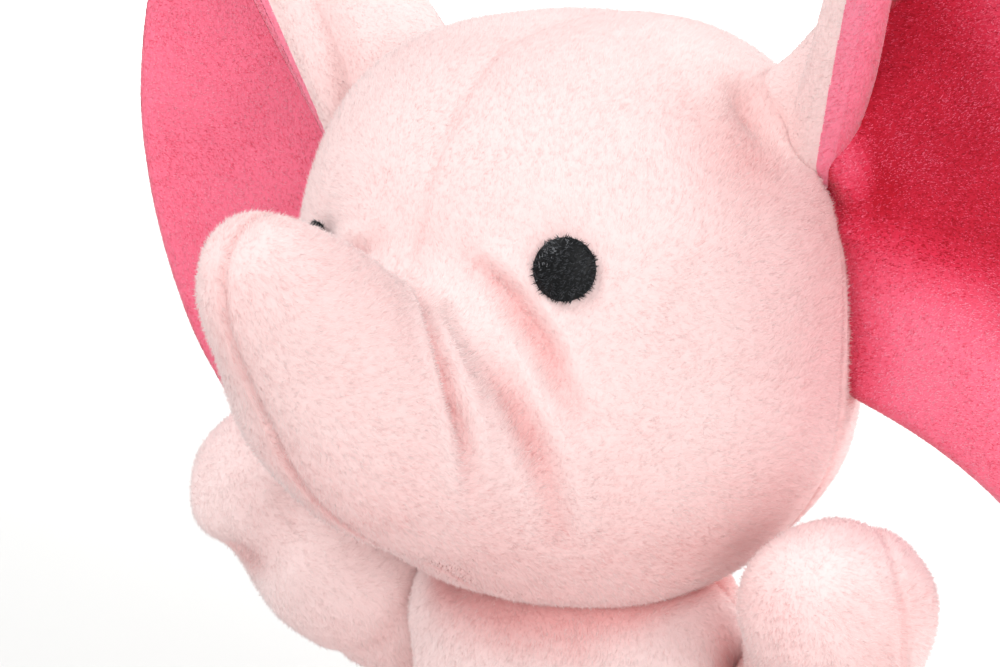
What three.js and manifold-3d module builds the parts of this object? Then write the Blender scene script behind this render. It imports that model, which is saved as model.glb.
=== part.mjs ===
// A seated plush elephant, about 240 mm tall, made the way it is sewn: fabric panels over stuffing,
// with every limb, the neck, the trunk and the ears as pieces that bend at their seams.
// Millimetres, +Z up. The face looks along -Y and +X is the toy's own left.
// The origin is the middle of the flat underside of the seat.
import * as THREE from "three";
import { mergeVertices } from "three/addons/utils/BufferGeometryUtils.js";
import { LoftGeometry } from "three/addons/geometries/LoftGeometry.js";
import Module from "manifold-3d";

const wasm = await Module();
wasm.setup();
const V = (x, y, z) => new THREE.Vector3(x, y, z);
const rad = THREE.MathUtils.degToRad;
const mirrored = (point, sign) => V(sign * point.x, point.y, point.z);

// ---- Driving dimensions -------------------------------------------------------------------------
const SKIN = 2.2; // plush fabric with its pile
const GAP = 0.3; // kept between pieces that touch
const FAR = 800; // size of the blocks that stand for half-spaces

const HEAD = V(0, -3, 151); // middle of the head
const HEAD_RADII = V(53, 51, 55);
const HEAD_ROUND = 2.15; // squareness of the head seen from above
const HEAD_UPRIGHT = 2.5; // squareness of the head seen from the front
const EAR_SEAM_Y = 10; // the seam between face and back panels, behind the head's middle

const NECK = V(0, 0, 99);
const NECK_BALL = 13.5;
const SOCKET_PLAY = 0.6; // a socket is this much wider than the ball in it

const EYE_RADIUS = 5.7;
const EYE_SIDE_ANGLES = { left: 32.6, right: 30.2 }; // degrees from the face's centre seam
const EYE_HEIGHTS = { left: 18.2, right: 14.7 }; // above the head's middle
const EYE_THICK = 0.9;

const TORSO_DEPTH = 0.94; // front-to-back size over side-to-side size
const TORSO_SEAM_Y = 6; // the side seams, where belly and back panels meet
const SEAT_RADIUS = 26;

const SHOULDER = V(39.5, 5, 75.5);
const ARM_FORWARD = 40.5; // degrees forward of straight out
const ARM_RAISED = 43.5; // degrees above level
const ARM_ROOT = 14;
const ARM_SOCKET = 17.5;

const HIP = V(23, -22, 21.3);
const LEG_OUT = 24; // degrees outward of straight ahead
const LEG_ROOT = 16;
const LEG_SOCKET = 20.8;
const LEG_LENGTH = 62;
const SOLE_RADIUS = 16.6;

const TAIL = V(0, 38.5, 21);
const TAIL_ROOT = 4.6;
const TAIL_LENGTH = 33;
const TAIL_DROOP = 12; // degrees below level

// The trunk's centre line, in front of and above the head's middle, with its radius.
const TRUNK_LINE = [
  { y: -20, z: -14, r: 28.5 },
  { y: -40, z: -13, r: 25.8 },
  { y: -56, z: -8.5, r: 22 },
  { y: -66, z: -2, r: 20.2 },
  { y: -73.5, z: 5, r: 18.4 },
  { y: -79.5, z: 11, r: 16.4 },
  { y: -84.5, z: 17, r: 14 },
  { y: -87.5, z: 21.5, r: 11.2 },
];
const TRUNK_JOINT = 3; // the point of that line where the trunk bends
const TRUNK_ROOT = 19.6;

// The left ear, from the head's middle. It is a sheet of straight rays from its seam on the head to
// its rim: up from the lower lobe, round the top, over a fold and back down the flap in front.
const EAR_ROOT = [
  [51, 15, -13],
  [52, 14, 2],
  [51.5, 13, 16],
  [49.5, 12, 28],
  [45.5, 9, 40],
  [41.5, 5, 49],
  [43, 1, 46],
  [47.5, 1, 37],
  [50, 3, 30],
];
const EAR_RIM = [
  [95, 10, -33],
  [104, 8, -19],
  [114, 7, 6],
  [118, 7, 34],
  [112, 11, 64],
  [86, 20, 86],
  [79, 9, 88],
  [75, -6, 82],
  [68, -17, 67],
];
const EAR_CUP = 7; // how far the middle of the sheet bows back
const EAR_CLEAR = 3.4; // between the head and the middle of the ear's root
const EAR_FABRIC = 2;
const EAR_WADDING = 2;
const EAR_STEPS = { around: 16, outward: 4 };

// ---- Materials ----------------------------------------------------------------------------------
const finish = (color, roughness) =>
  new THREE.MeshStandardMaterial({ color, roughness, metalness: 0 });
const palePlush = finish(0xf6d3d3, 0.95);
const hotPlush = finish(0xe2415f, 0.95);
const fibrefill = finish(0xf7f5f0, 1.0);
const pouchCloth = finish(0xe9e4da, 0.9);
const blackThread = finish(0x17181a, 0.55);
const pinkThread = finish(0xeeb6b8, 0.7);
const satinRibbon = finish(0xf8f7f4, 0.4);

// ---- Solids -------------------------------------------------------------------------------------
// A closed three.js geometry as a manifold solid, with its faces turned outwards.
function solid(geometry) {
  const bare = new THREE.BufferGeometry().copy(geometry);
  for (const extra of ["normal", "uv"]) bare.deleteAttribute(extra);
  const merged = mergeVertices(bare, 1e-4);
  const triVerts = new Uint32Array(merged.index.array);
  const vertProperties = merged.attributes.position.array;
  const made = new wasm.Manifold(new wasm.Mesh({ numProp: 3, vertProperties, triVerts }));
  if (made.volume() > 0) return made;
  for (let i = 0; i < triVerts.length; i += 3)
    [triVerts[i + 1], triVerts[i + 2]] = [triVerts[i + 2], triVerts[i + 1]];
  return new wasm.Manifold(new wasm.Mesh({ numProp: 3, vertProperties, triVerts }));
}

// A manifold solid as a named three.js mesh.
function piece(name, made, material) {
  const { vertProperties, triVerts, numProp, numVert } = made.getMesh();
  const points = new Float32Array(numVert * 3);
  for (let i = 0; i < numVert; i++)
    points.set(vertProperties.subarray(i * numProp, i * numProp + 3), i * 3);
  const geometry = new THREE.BufferGeometry();
  geometry.setAttribute("position", new THREE.BufferAttribute(points, 3));
  geometry.setIndex(new THREE.BufferAttribute(triVerts, 1));
  geometry.computeVertexNormals();
  const mesh = new THREE.Mesh(geometry, material);
  mesh.name = name;
  return mesh;
}

// Everything on the side of the plane through point that normal points to.
function halfSpace(point, normal) {
  const block = new THREE.BoxGeometry(FAR, FAR, FAR);
  block.translate(0, 0, FAR / 2);
  block.applyQuaternion(new THREE.Quaternion().setFromUnitVectors(V(0, 0, 1), normal));
  block.translate(point.x, point.y, point.z);
  return solid(block);
}

function ball(centre, radius, columns = 16, rows = 10) {
  const sphere = new THREE.SphereGeometry(radius, columns, rows);
  sphere.translate(centre.x, centre.y, centre.z);
  return solid(sphere);
}

// The solid cut in two at a plane, with GAP between the halves: [side normal points to, other].
function halves(made, point, normal) {
  const ahead = point.clone().addScaledVector(normal, GAP / 2);
  const behind = point.clone().addScaledVector(normal, -GAP / 2);
  return [
    made.intersect(halfSpace(ahead, normal)),
    made.intersect(halfSpace(behind, normal.clone().negate())),
  ];
}

// A round body turned from [radius, distance] points about a line from a point along a direction.
function turned(profile, from, along, sides) {
  const lathe = new THREE.LatheGeometry(profile.map(([r, a]) => new THREE.Vector2(r, a)), sides);
  lathe.applyQuaternion(new THREE.Quaternion().setFromUnitVectors(V(0, 1, 0), along));
  lathe.translate(from.x, from.y, from.z);
  return solid(lathe);
}

// Profile points of a limb that starts as half a ball of radius root, follows the given stations
// and ends rounded with the last station's radius. inset shrinks it all round.
function limbProfile(root, stations, inset = 0) {
  const points = [];
  const steps = 4;
  for (let i = 0; i <= steps; i++) {
    const angle = (i / steps) * (Math.PI / 2);
    points.push([(root - inset) * Math.sin(angle), -(root - inset) * Math.cos(angle)]);
  }
  for (const [r, a] of stations) points.push([r - inset, a]);
  const [r, a] = stations.at(-1);
  for (let i = 1; i <= steps; i++) {
    const angle = (i / steps) * (Math.PI / 2);
    points.push([(r - inset) * Math.cos(angle), a + (r - inset) * Math.sin(angle)]);
  }
  points[0][0] = 0;
  points.at(-1)[0] = 0;
  return points;
}

// A tube along a 3-D line of {at, r}, square to the line, with a rounded far end.
// A ball of radius root, if given, starts it in place of a flat end.
function bentTube(line, sides, inset = 0, root = 0) {
  const curve = new THREE.CatmullRomCurve3(line.map((p) => p.at));
  const across = V(1, 0, 0);
  const rings = [];
  const ring = (centre, radius, along) => {
    const up = along.clone().cross(across).normalize();
    const points = [];
    for (let k = 0; k < sides; k++) {
      const angle = (2 * Math.PI * k) / sides;
      const spoke = across.clone().multiplyScalar(Math.cos(angle) * radius);
      points.push(spoke.addScaledVector(up, Math.sin(angle) * radius).add(centre));
    }
    rings.push(points);
  };
  const first = curve.getTangent(0);
  for (let i = 0; root && i < 4; i++) {
    const angle = ((i + 0.4) / 4) * (Math.PI / 2);
    const centre = line[0].at.clone().addScaledVector(first, -(root - inset) * Math.cos(angle));
    ring(centre, (root - inset) * Math.sin(angle), first);
  }
  line.forEach((p, i) => {
    const radius = i === 0 && root ? root : p.r;
    ring(p.at, radius - inset, curve.getTangent(i / (line.length - 1)));
  });
  const last = curve.getTangent(1);
  const end = line.at(-1);
  for (let i = 1; i < 4; i++) {
    const angle = (i / 4) * (Math.PI / 2);
    const centre = end.at.clone().addScaledVector(last, (end.r - inset) * Math.sin(angle));
    ring(centre, (end.r - inset) * Math.cos(angle), last);
  }
  return solid(new LoftGeometry(rings, { capStart: true, capEnd: true }));
}

// ---- Head and trunk -----------------------------------------------------------------------------
// The point of the head's surface, grown by grow, in the direction of spot from the head's middle.
function onHead(spot, grow) {
  const radii = HEAD_RADII.clone().addScalar(grow);
  const at = spot.clone().divide(radii);
  const flat = (Math.abs(at.x) ** HEAD_ROUND + Math.abs(at.y) ** HEAD_ROUND) ** (1 / HEAD_ROUND);
  const reach = (flat ** HEAD_UPRIGHT + Math.abs(at.z) ** HEAD_UPRIGHT) ** (1 / HEAD_UPRIGHT);
  return spot.clone().divideScalar(reach);
}

// The head without its trunk: a form between a ball and a block, grown by grow all round.
function headBall(grow, columns, rows) {
  const sphere = new THREE.SphereGeometry(1, columns, rows);
  sphere.rotateX(Math.PI / 2);
  const spots = sphere.attributes.position;
  const spot = V(0, 0, 0);
  for (let i = 0; i < spots.count; i++) {
    spot.fromBufferAttribute(spots, i).multiply(HEAD_RADII);
    spots.setXYZ(i, ...onHead(spot, grow).add(HEAD));
  }
  return solid(sphere);
}

const trunkLine = TRUNK_LINE.map(({ y, z, r }) => ({ at: V(0, y, z).add(HEAD), r }));
const trunkPivot = trunkLine[TRUNK_JOINT].at;
const trunkAlong = trunkLine[TRUNK_JOINT + 1].at.clone().sub(trunkLine[TRUNK_JOINT - 1].at).normalize();
const trunkSocket = ball(trunkPivot, TRUNK_ROOT + SOCKET_PLAY, 16, 10);
const neckSocket = ball(NECK, NECK_BALL + SOCKET_PLAY, 12, 8);

// Head with the thick start of the trunk, up to the plane where the trunk bends.
function headForm(inset, columns, rows, sides) {
  const reach = trunkLine.slice(0, TRUNK_JOINT + 2);
  const stump = bentTube(reach, sides, inset);
  const stop = trunkPivot.clone().addScaledVector(trunkAlong, -1);
  const kept = stump.intersect(halfSpace(stop, trunkAlong.clone().negate()));
  return headBall(-inset, columns, rows).add(kept);
}

function headPieces() {
  const cuts = trunkSocket.add(neckSocket);
  const skin = headForm(0, 26, 16, 18).subtract(headForm(SKIN, 14, 10, 12)).subtract(cuts);
  const [back, face] = halves(skin, V(0, HEAD.y + EAR_SEAM_Y, 0), V(0, 1, 0));
  const [faceLeft, faceRight] = halves(face, V(0, 0, 0), V(1, 0, 0));
  const [backLeft, backRight] = halves(back, V(0, 0, 0), V(1, 0, 0));
  const stuffing = headForm(SKIN + 2, 12, 8, 10).subtract(cuts);
  const made = [
    piece("face_left", faceLeft, palePlush),
    piece("face_right", faceRight, palePlush),
    piece("head_back_left", backLeft, palePlush),
    piece("head_back_right", backRight, palePlush),
    piece("head_stuffing", stuffing, fibrefill),
  ];
  const layer = headBall(GAP + EYE_THICK, 26, 16).subtract(headBall(GAP, 26, 16));
  for (const [side, sign] of [["left", 1], ["right", -1]]) {
    const angle = rad(EYE_SIDE_ANGLES[side]);
    const out = V(sign * Math.sin(angle), -Math.cos(angle), EYE_HEIGHTS[side] / HEAD_RADII.y).normalize();
    const rod = turned([[0, 20], [EYE_RADIUS, 20], [EYE_RADIUS, 80], [0, 80]], HEAD, out, 20);
    made.push(piece(`eye_${side}`, layer.intersect(rod), blackThread));
  }
  return made;
}

function trunkPieces() {
  const reach = trunkLine.slice(TRUNK_JOINT);
  const skin = bentTube(reach, 18, 0, TRUNK_ROOT).subtract(bentTube(reach, 10, SKIN, TRUNK_ROOT));
  const [left, right] = halves(skin, V(0, 0, 0), V(1, 0, 0));
  return [
    piece("trunk_left", left, palePlush),
    piece("trunk_right", right, palePlush),
    piece("trunk_stuffing", bentTube(reach, 10, SKIN + 1, TRUNK_ROOT), fibrefill),
  ];
}

// ---- Ears ---------------------------------------------------------------------------------------
const earRootPoints = EAR_ROOT.map((p) => onHead(V(...p), EAR_CLEAR));
const earRoot = new THREE.CatmullRomCurve3(earRootPoints, false, "centripetal");
const earRim = new THREE.CatmullRomCurve3(EAR_RIM.map((p) => V(...p)), false, "centripetal");

// A point of the left ear's middle sheet: around runs along the seam and rim, outward from seam to rim.
function earSheet(around, outward) {
  const point = earRoot.getPoint(around).lerp(earRim.getPoint(around), outward);
  const flatPart = THREE.MathUtils.smoothstep(1 - around, 0.25, 0.6);
  point.y += EAR_CUP * Math.sin(Math.PI * outward) * flatPart;
  return point.add(HEAD);
}

function earNormal(around, outward) {
  const step = 0.01;
  const clamp = (x) => Math.min(1 - step, Math.max(step, x));
  const [a, o] = [clamp(around), clamp(outward)];
  const along = earSheet(a + step, o).sub(earSheet(a - step, o));
  const out = earSheet(a, o + step).sub(earSheet(a, o - step));
  return out.cross(along).normalize();
}

// A closed shell between two grids of points [row][column] that lie one over the other.
function shellBetween(upper, lower) {
  const rows = upper.length;
  const columns = upper[0].length;
  const below = rows * columns;
  const indices = [];
  const quad = (a, b, c, d) => indices.push(a, b, c, a, c, d);
  for (let i = 0; i < rows - 1; i++) {
    const first = i * columns;
    const last = first + columns - 1;
    for (let a = first; a < last; a++) {
      quad(a, a + 1, a + columns + 1, a + columns);
      quad(a + below, a + below + columns, a + below + columns + 1, a + below + 1);
    }
    quad(first, first + columns, first + below + columns, first + below);
    quad(last, last + below, last + below + columns, last + columns);
  }
  for (let j = 0; j < columns - 1; j++) {
    const end = (rows - 1) * columns + j;
    quad(j, j + below, j + 1 + below, j + 1);
    quad(end, end + 1, end + below + 1, end + below);
  }
  const points = [...upper.flat(), ...lower.flat()];
  const geometry = new THREE.BufferGeometry().setFromPoints(points);
  geometry.setIndex(indices);
  return solid(geometry);
}

// The layer of the left ear between two heights over its middle sheet, mirrored for the right ear.
// The hollow side, where the lining is, has the higher heights.
function earLayer(low, high, sign) {
  const upper = [];
  const lower = [];
  for (let i = 0; i <= EAR_STEPS.around; i++) {
    upper.push([]);
    lower.push([]);
    for (let j = 0; j <= EAR_STEPS.outward; j++) {
      const spot = [i / EAR_STEPS.around, j / EAR_STEPS.outward];
      const middle = earSheet(...spot);
      const normal = earNormal(...spot);
      upper[i].push(mirrored(middle.clone().addScaledVector(normal, high), sign));
      lower[i].push(mirrored(middle.clone().addScaledVector(normal, low), sign));
    }
  }
  return shellBetween(upper, lower);
}

function earPieces(side, sign) {
  const half = EAR_WADDING / 2;
  const near = half + GAP;
  return [
    piece(`ear_${side}_lining`, earLayer(near, near + EAR_FABRIC, sign), hotPlush),
    piece(`ear_${side}_wadding`, earLayer(-half, half, sign), fibrefill),
    piece(`ear_${side}_back`, earLayer(-near - EAR_FABRIC, -near, sign), palePlush),
  ];
}

// ---- Torso --------------------------------------------------------------------------------------
// Half-widths of the torso at heights above the seat.
const TORSO_PROFILE = [
  [SEAT_RADIUS, 0],
  [33, 4],
  [38.5, 13],
  [41.5, 26],
  [41, 41],
  [38.5, 57],
  [35, 70],
  [33, 80],
  [31, 88],
  [27, 93],
  [20, 94.5],
];
const TORSO_TOP = 94.8;

function torsoForm(inset, sides) {
  const points = [[0, inset]];
  for (const [r, z] of TORSO_PROFILE) {
    points.push([r - inset, Math.min(Math.max(z, inset), TORSO_TOP - inset)]);
  }
  points.push([0, TORSO_TOP - inset]);
  return turned(points, V(0, 0, 0), V(0, 0, 1), sides).scale([1, TORSO_DEPTH, 1]);
}

const armAlong = V(
  Math.cos(rad(ARM_FORWARD)) * Math.cos(rad(ARM_RAISED)),
  -Math.sin(rad(ARM_FORWARD)) * Math.cos(rad(ARM_RAISED)),
  Math.sin(rad(ARM_RAISED)),
);
const legAlong = V(Math.sin(rad(LEG_OUT)), -Math.cos(rad(LEG_OUT)), 0);
const tailAlong = V(0, Math.cos(rad(TAIL_DROOP)), -Math.sin(rad(TAIL_DROOP)));

function torsoPieces() {
  let cuts = neckSocket.add(ball(TAIL, TAIL_ROOT + SOCKET_PLAY, 8, 6));
  for (const sign of [1, -1]) {
    cuts = cuts.add(ball(mirrored(SHOULDER, sign), ARM_SOCKET, 12, 8));
    cuts = cuts.add(ball(mirrored(HIP, sign), LEG_SOCKET, 12, 8));
  }
  const aboveSeat = halfSpace(V(0, 0, SKIN + GAP), V(0, 0, 1));
  const skin = torsoForm(0, 24).subtract(torsoForm(SKIN, 14)).subtract(cuts).intersect(aboveSeat);
  const [back, belly] = halves(skin, V(0, TORSO_SEAM_Y, 0), V(0, 1, 0));
  const [backLeft, backRight] = halves(back, V(0, 0, 0), V(1, 0, 0));
  const up = V(0, 0, 1);
  const seatPoints = [[0, 0], [SEAT_RADIUS, 0], [SEAT_RADIUS + 1.6, SKIN], [0, SKIN]];
  const seat = turned(seatPoints, V(0, 0, 0), up, 24).scale([1, TORSO_DEPTH, 1]);

  const pouchPoints = [[0, 2.9], [15, 2.9], [19, 7], [17, 13], [10, 17], [0, 18]];
  const roomPoints = [[0, 2], [16, 2], [20, 7], [18, 13.6], [10.6, 17.8], [0, 18.8]];
  const pouch = turned(pouchPoints, V(0, 7, 0), up, 14);
  const pouchRoom = turned(roomPoints, V(0, 7, 0), up, 14);
  const stuffing = torsoForm(SKIN + 1, 12).subtract(cuts).subtract(pouchRoom);

  return [
    piece("belly_panel", belly, palePlush),
    piece("back_panel_left", backLeft, palePlush),
    piece("back_panel_right", backRight, palePlush),
    piece("seat_panel", seat, palePlush),
    piece("torso_stuffing", stuffing, fibrefill),
    piece("pellet_pouch", pouch, pouchCloth),
    closingSeam(),
    careLabel(),
  ];
}

// The hand-sewn stretch of the centre back seam, where the stuffing went in.
function closingSeam() {
  const path = new THREE.CatmullRomCurve3([V(0, 39.9, 36), V(0, 39.6, 43), V(0, 38.3, 50), V(0, 36.6, 57)]);
  const section = new THREE.Shape();
  section.absarc(0, 0, 0.5, 0, 2 * Math.PI);
  const cord = new THREE.ExtrudeGeometry(section, { steps: 6, curveSegments: 3, extrudePath: path });
  return piece("closing_seam_thread", solid(cord), pinkThread);
}

// A blank folded ribbon let into the seat seam beside the tail.
function careLabel() {
  const ribbon = new THREE.BoxGeometry(14, 15, 0.9);
  ribbon.rotateX(rad(-10));
  ribbon.translate(-17, 40.5, 4.6);
  return piece("care_label", solid(ribbon), satinRibbon);
}

// ---- Neck, limbs and tail -----------------------------------------------------------------------
function neckPieces() {
  return [piece("neck_stuffing", ball(NECK, NECK_BALL, 12, 8), fibrefill)];
}

// [radius, distance from the shoulder] down the arm.
const ARM_STATIONS = [
  [14.8, 7],
  [16.8, 18],
  [17.6, 32],
  [17, 47],
];

function armPieces(side, sign) {
  const from = mirrored(SHOULDER, sign);
  const along = mirrored(armAlong, sign);
  const form = (inset, sides) => turned(limbProfile(ARM_ROOT, ARM_STATIONS, inset), from, along, sides);
  const skin = form(0, 16).subtract(form(SKIN, 8));
  const front = V(-along.y * sign, along.x * sign, 0).normalize().multiplyScalar(-1);
  const [before, behind] = halves(skin, from, front);
  return [
    piece(`arm_${side}_front`, before, palePlush),
    piece(`arm_${side}_back`, behind, palePlush),
    piece(`arm_${side}_stuffing`, form(SKIN + 1, 8), fibrefill),
  ];
}

// [radius, distance from the hip] down the leg, before its flat sole.
const LEG_STATIONS = [
  [16.2, 9],
  [17.8, 21],
  [20.2, 38],
  [21, 50],
  [19.4, 58],
];

function legProfile(inset, end) {
  const points = limbProfile(LEG_ROOT, LEG_STATIONS, inset).slice(0, 5 + LEG_STATIONS.length);
  return [...points, [SOLE_RADIUS + 0.6 - inset, end], [0, end]];
}

function legPieces(side, sign) {
  const from = mirrored(HIP, sign);
  const along = mirrored(legAlong, sign);
  const soleStart = LEG_LENGTH - SKIN;
  const skinEnd = soleStart - GAP;
  const outer = turned(legProfile(0, skinEnd), from, along, 18);
  const inner = turned(legProfile(SKIN, LEG_LENGTH), from, along, 9);
  const sideways = V(-along.y, along.x, 0).multiplyScalar(sign);
  const [outside, inside] = halves(outer.subtract(inner), from, sideways);
  const solePoints = [
    [0, soleStart], [SOLE_RADIUS, soleStart], [SOLE_RADIUS - 1, LEG_LENGTH], [0, LEG_LENGTH],
  ];
  return [
    piece(`leg_${side}_outer`, outside, palePlush),
    piece(`leg_${side}_inner`, inside, palePlush),
    piece(`leg_${side}_sole`, turned(solePoints, from, along, 20), hotPlush),
    piece(`leg_${side}_stuffing`, turned(legProfile(SKIN + 1.6, skinEnd - 1), from, along, 8), fibrefill),
  ];
}

function tailPieces() {
  const stations = [
    [4.2, 8],
    [4.0, 18],
    [5.2, TAIL_LENGTH - 6],
  ];
  return [piece("tail", turned(limbProfile(TAIL_ROOT, stations), TAIL, tailAlong, 12), palePlush)];
}

// ---- Assembly -----------------------------------------------------------------------------------
const elephant = new THREE.Group();
elephant.add(...torsoPieces(), ...neckPieces(), ...headPieces(), ...trunkPieces(), ...tailPieces());
for (const [side, sign] of [["left", 1], ["right", -1]])
  elephant.add(...earPieces(side, sign), ...armPieces(side, sign), ...legPieces(side, sign));

export default elephant;
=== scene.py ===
"""A seated plush elephant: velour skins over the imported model, with seams, wrinkles and pile.

Lengths below are millimetres until a mesh is made. x is the toy's left, -y its front, +z up.
"""
import math

import bpy
import numpy as np
import openvdb
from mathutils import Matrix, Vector


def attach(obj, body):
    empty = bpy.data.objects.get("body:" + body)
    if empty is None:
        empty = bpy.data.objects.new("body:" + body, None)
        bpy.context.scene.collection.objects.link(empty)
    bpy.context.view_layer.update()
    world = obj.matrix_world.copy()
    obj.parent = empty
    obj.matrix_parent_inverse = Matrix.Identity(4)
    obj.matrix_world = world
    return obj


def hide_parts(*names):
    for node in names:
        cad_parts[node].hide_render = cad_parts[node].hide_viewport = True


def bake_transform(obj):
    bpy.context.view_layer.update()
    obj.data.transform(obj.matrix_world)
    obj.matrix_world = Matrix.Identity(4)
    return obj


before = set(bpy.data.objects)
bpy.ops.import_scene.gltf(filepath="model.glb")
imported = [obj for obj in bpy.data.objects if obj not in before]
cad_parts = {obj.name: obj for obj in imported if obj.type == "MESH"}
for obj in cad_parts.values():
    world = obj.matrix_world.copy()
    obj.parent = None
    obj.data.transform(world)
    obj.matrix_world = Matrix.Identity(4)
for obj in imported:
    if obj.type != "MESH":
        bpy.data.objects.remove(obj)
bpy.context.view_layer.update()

MM = 0.001
SIDES = {"left": 1, "right": -1}

HEAD = np.array([0.0, -3.0, 151.0])
HEAD_RADII = np.array([53.0, 51.0, 55.0])
HEAD_SQUARENESS, HEAD_FLATNESS = 2.15, 2.5  # 2 is round: seen from above, and from the side
TRUNK = np.array([
    [-20, -14, 28.5],
    [-40, -13, 25.8],
    [-56, -8.5, 22],
    [-66, -2, 20.2],
    [-73.5, 5, 18.4],
    [-79.5, 11, 16.4],
    [-84.5, 17, 14],
    [-87.5, 21.5, 11.2],
])  # y and z from the head's middle, radius
TRUNK_PIVOT = HEAD + [0, -66, -2]
TRUNK_BEND = np.array([0, -0.95, 0.31])  # direction out along the trunk at its pivot
SHOULDER = np.array([39.5, 5.0, 75.5])
ARM_ALONG = np.array([0.5515, -0.4711, 0.6884])
HIP = np.array([23.0, -22.0, 21.3])
LEG_ALONG = np.array([0.4067, -0.9135, 0.0])
TAIL = np.array([0.0, 38.5, 21.0])
TAIL_ALONG = np.array([0.0, 0.9781, -0.2079])

# The left ear from the head's middle: its seam on the head, and its free edge.
EAR_ROOT = [[51, 15, -13], [52, 14, 2], [51.5, 13, 16], [49.5, 12, 28], [45.5, 9, 40], [41.5, 7, 48],
            [43, 7, 45.5], [47.5, 7.5, 37], [51, 10, 30]]
EAR_RIM = [[95, 10, -33], [104, 8, -19], [114, 7, 6], [118, 7, 34], [112, 11, 64], [86, 20, 86],
           [78, 8, 87], [70, -14, 80], [69, -16, 67]]
# The right ear is sewn a little further forward at the top and reaches a little lower.
RIGHT_ROOT_SHIFT = [[0, 0, 0]] * 6 + [[0, -7, -1], [0.5, -12, -4], [1, -18, -8]]
RIGHT_RIM_SHIFT = [[3, 0, -2], [2.5, 0, -1], [1.5, 0, 0]] + [[0, 0, 0]] * 3 + [
    [0, -1, 0], [2, -1, 0], [-2, -4, 0]]

# Spacing of the points of a skin, and fibres per square millimetre.
STEP = 0.8
FUR = 7.0


# ---- Fields and curves --------------------------------------------------------------------------
def unit(v):
    v = np.asarray(v, float)
    return v / np.linalg.norm(v, axis=-1, keepdims=True)


def mirror(p, sign):
    """Points of the toy's left side (sign 1) or their mirror images on its right (sign -1)."""
    return np.asarray(p) * [sign, 1, 1]


def step_up(x, a, b):
    """0 before a, 1 after b, and a smooth rise between them."""
    t = np.clip((x - a) / (b - a), 0, 1)
    return t * t * (3 - 2 * t)


def smooth_min(a, b, k):
    h = np.clip(0.5 + 0.5 * (b - a) / k, 0, 1)
    return b * (1 - h) + a * h - k * h * (1 - h)


def bell(x, width):
    """1 at 0, falling away smoothly over width."""
    return np.exp(-((x / width) ** 2))


def near(p, centre, size):
    """1 at centre, falling away smoothly over size."""
    return np.exp(-(((p - centre) / size) ** 2).sum(1))


def ripple(p, size, seed):
    """Smooth noise of about -1 to 1 at points p, with lumps about size across."""
    waves, largest = 9, 4.2
    r = np.random.default_rng(seed)
    total = np.zeros(len(p))
    for _ in range(waves):
        wave = unit(r.normal(size=3)) * r.uniform(0.6, 1.5) * math.pi / size
        total += np.sin(p @ wave + r.uniform(0, 2 * math.pi))
    return total / largest


def curve(points, count, centripetal=True):
    """count points spread along a Catmull-Rom curve through the given ones, evenly by index."""
    points = np.asarray(points, float)
    padded = np.vstack([2 * points[0] - points[1], points, 2 * points[-1] - points[-2]])
    t = np.linspace(0, len(points) - 1, count)
    i = np.minimum(t.astype(int), len(points) - 2)
    f = (t - i)[:, None]
    p0, p1, p2, p3 = (padded[i + k] for k in range(4))
    power = 0.5 if centripetal else 0.0
    d0, d1, d2 = (np.linalg.norm(b[:, :3] - a[:, :3], axis=1)[:, None] ** power
                  for a, b in ((p0, p1), (p1, p2), (p2, p3)))
    m1 = ((p1 - p0) / d0 - (p2 - p0) / (d0 + d1) + (p2 - p1) / d1) * d1
    m2 = ((p2 - p1) / d1 - (p3 - p1) / (d1 + d2) + (p3 - p2) / d2) * d1
    return ((2 * f**3 - 3 * f**2 + 1) * p1 + (f**3 - 2 * f**2 + f) * m1
            + (3 * f**2 - 2 * f**3) * p2 + (f**3 - f**2) * m2)


def beside(p, line):
    """Distance from points p to a polyline, and how far along it, 0 to 1."""
    line = np.asarray(line, float)
    lengths = np.linalg.norm(np.diff(line, axis=0), axis=1)
    start = np.concatenate([[0], np.cumsum(lengths)])
    best, where = np.full(len(p), 1e9), np.zeros(len(p))
    for i, length in enumerate(lengths):
        way = (line[i + 1] - line[i]) / max(length, 1e-9)
        t = np.clip((p - line[i]) @ way, 0, length)
        gap = np.linalg.norm(p - line[i] - t[:, None] * way, axis=1)
        nearer = gap < best
        best[nearer], where[nearer] = gap[nearer], (start[i] + t[nearer]) / start[-1]
    return best, where


def away(p, line):
    """Distance from points p to a polyline."""
    return beside(p, line)[0]


def crease(p, line, width, depth, lip=0.35):
    """Height of a soft fold along a curve: a groove with low lips, fading at its ends."""
    gap, along = beside(p, curve(line, 24))
    fade = np.sin(np.pi * np.clip(along, 0.02, 0.98)) ** 0.6
    groove = np.exp(-((gap / width) ** 1.3))
    return fade * depth * (lip * bell(gap - 2 * width, width) - groove)


def folds(p, table):
    """Height of folds, each its points on the left, width and depth, on both sides."""
    return sum(crease(p, mirror(line, sign), width, depth)
               for line, width, depth in table for sign in SIDES.values())


def bumps(p, table, sign=1):
    """Height of bumps, each its centre on the left, size and height, on the side of sign."""
    return sum(height * near(p, mirror(centre, sign), size) for centre, size, height in table)


def seam(distance, width=0.9, depth=0.9):
    """Height of a sewn seam at a signed distance from it."""
    return -depth * bell(distance, width)


# ---- The head's surface -------------------------------------------------------------------------
def head_reach(rel):
    """How far out points lie, as a share of the head's surface; rel is from its middle."""
    q = np.abs(rel / HEAD_RADII)
    across = (q[:, 0] ** HEAD_SQUARENESS + q[:, 1] ** HEAD_SQUARENESS) ** (HEAD_FLATNESS / HEAD_SQUARENESS)
    return (across + q[:, 2] ** HEAD_FLATNESS) ** (1 / HEAD_FLATNESS)


def head_field(p):
    reach = np.maximum(head_reach(p - HEAD), 1e-6)
    return np.linalg.norm(p - HEAD, axis=1) * (1 - 1 / reach)


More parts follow.
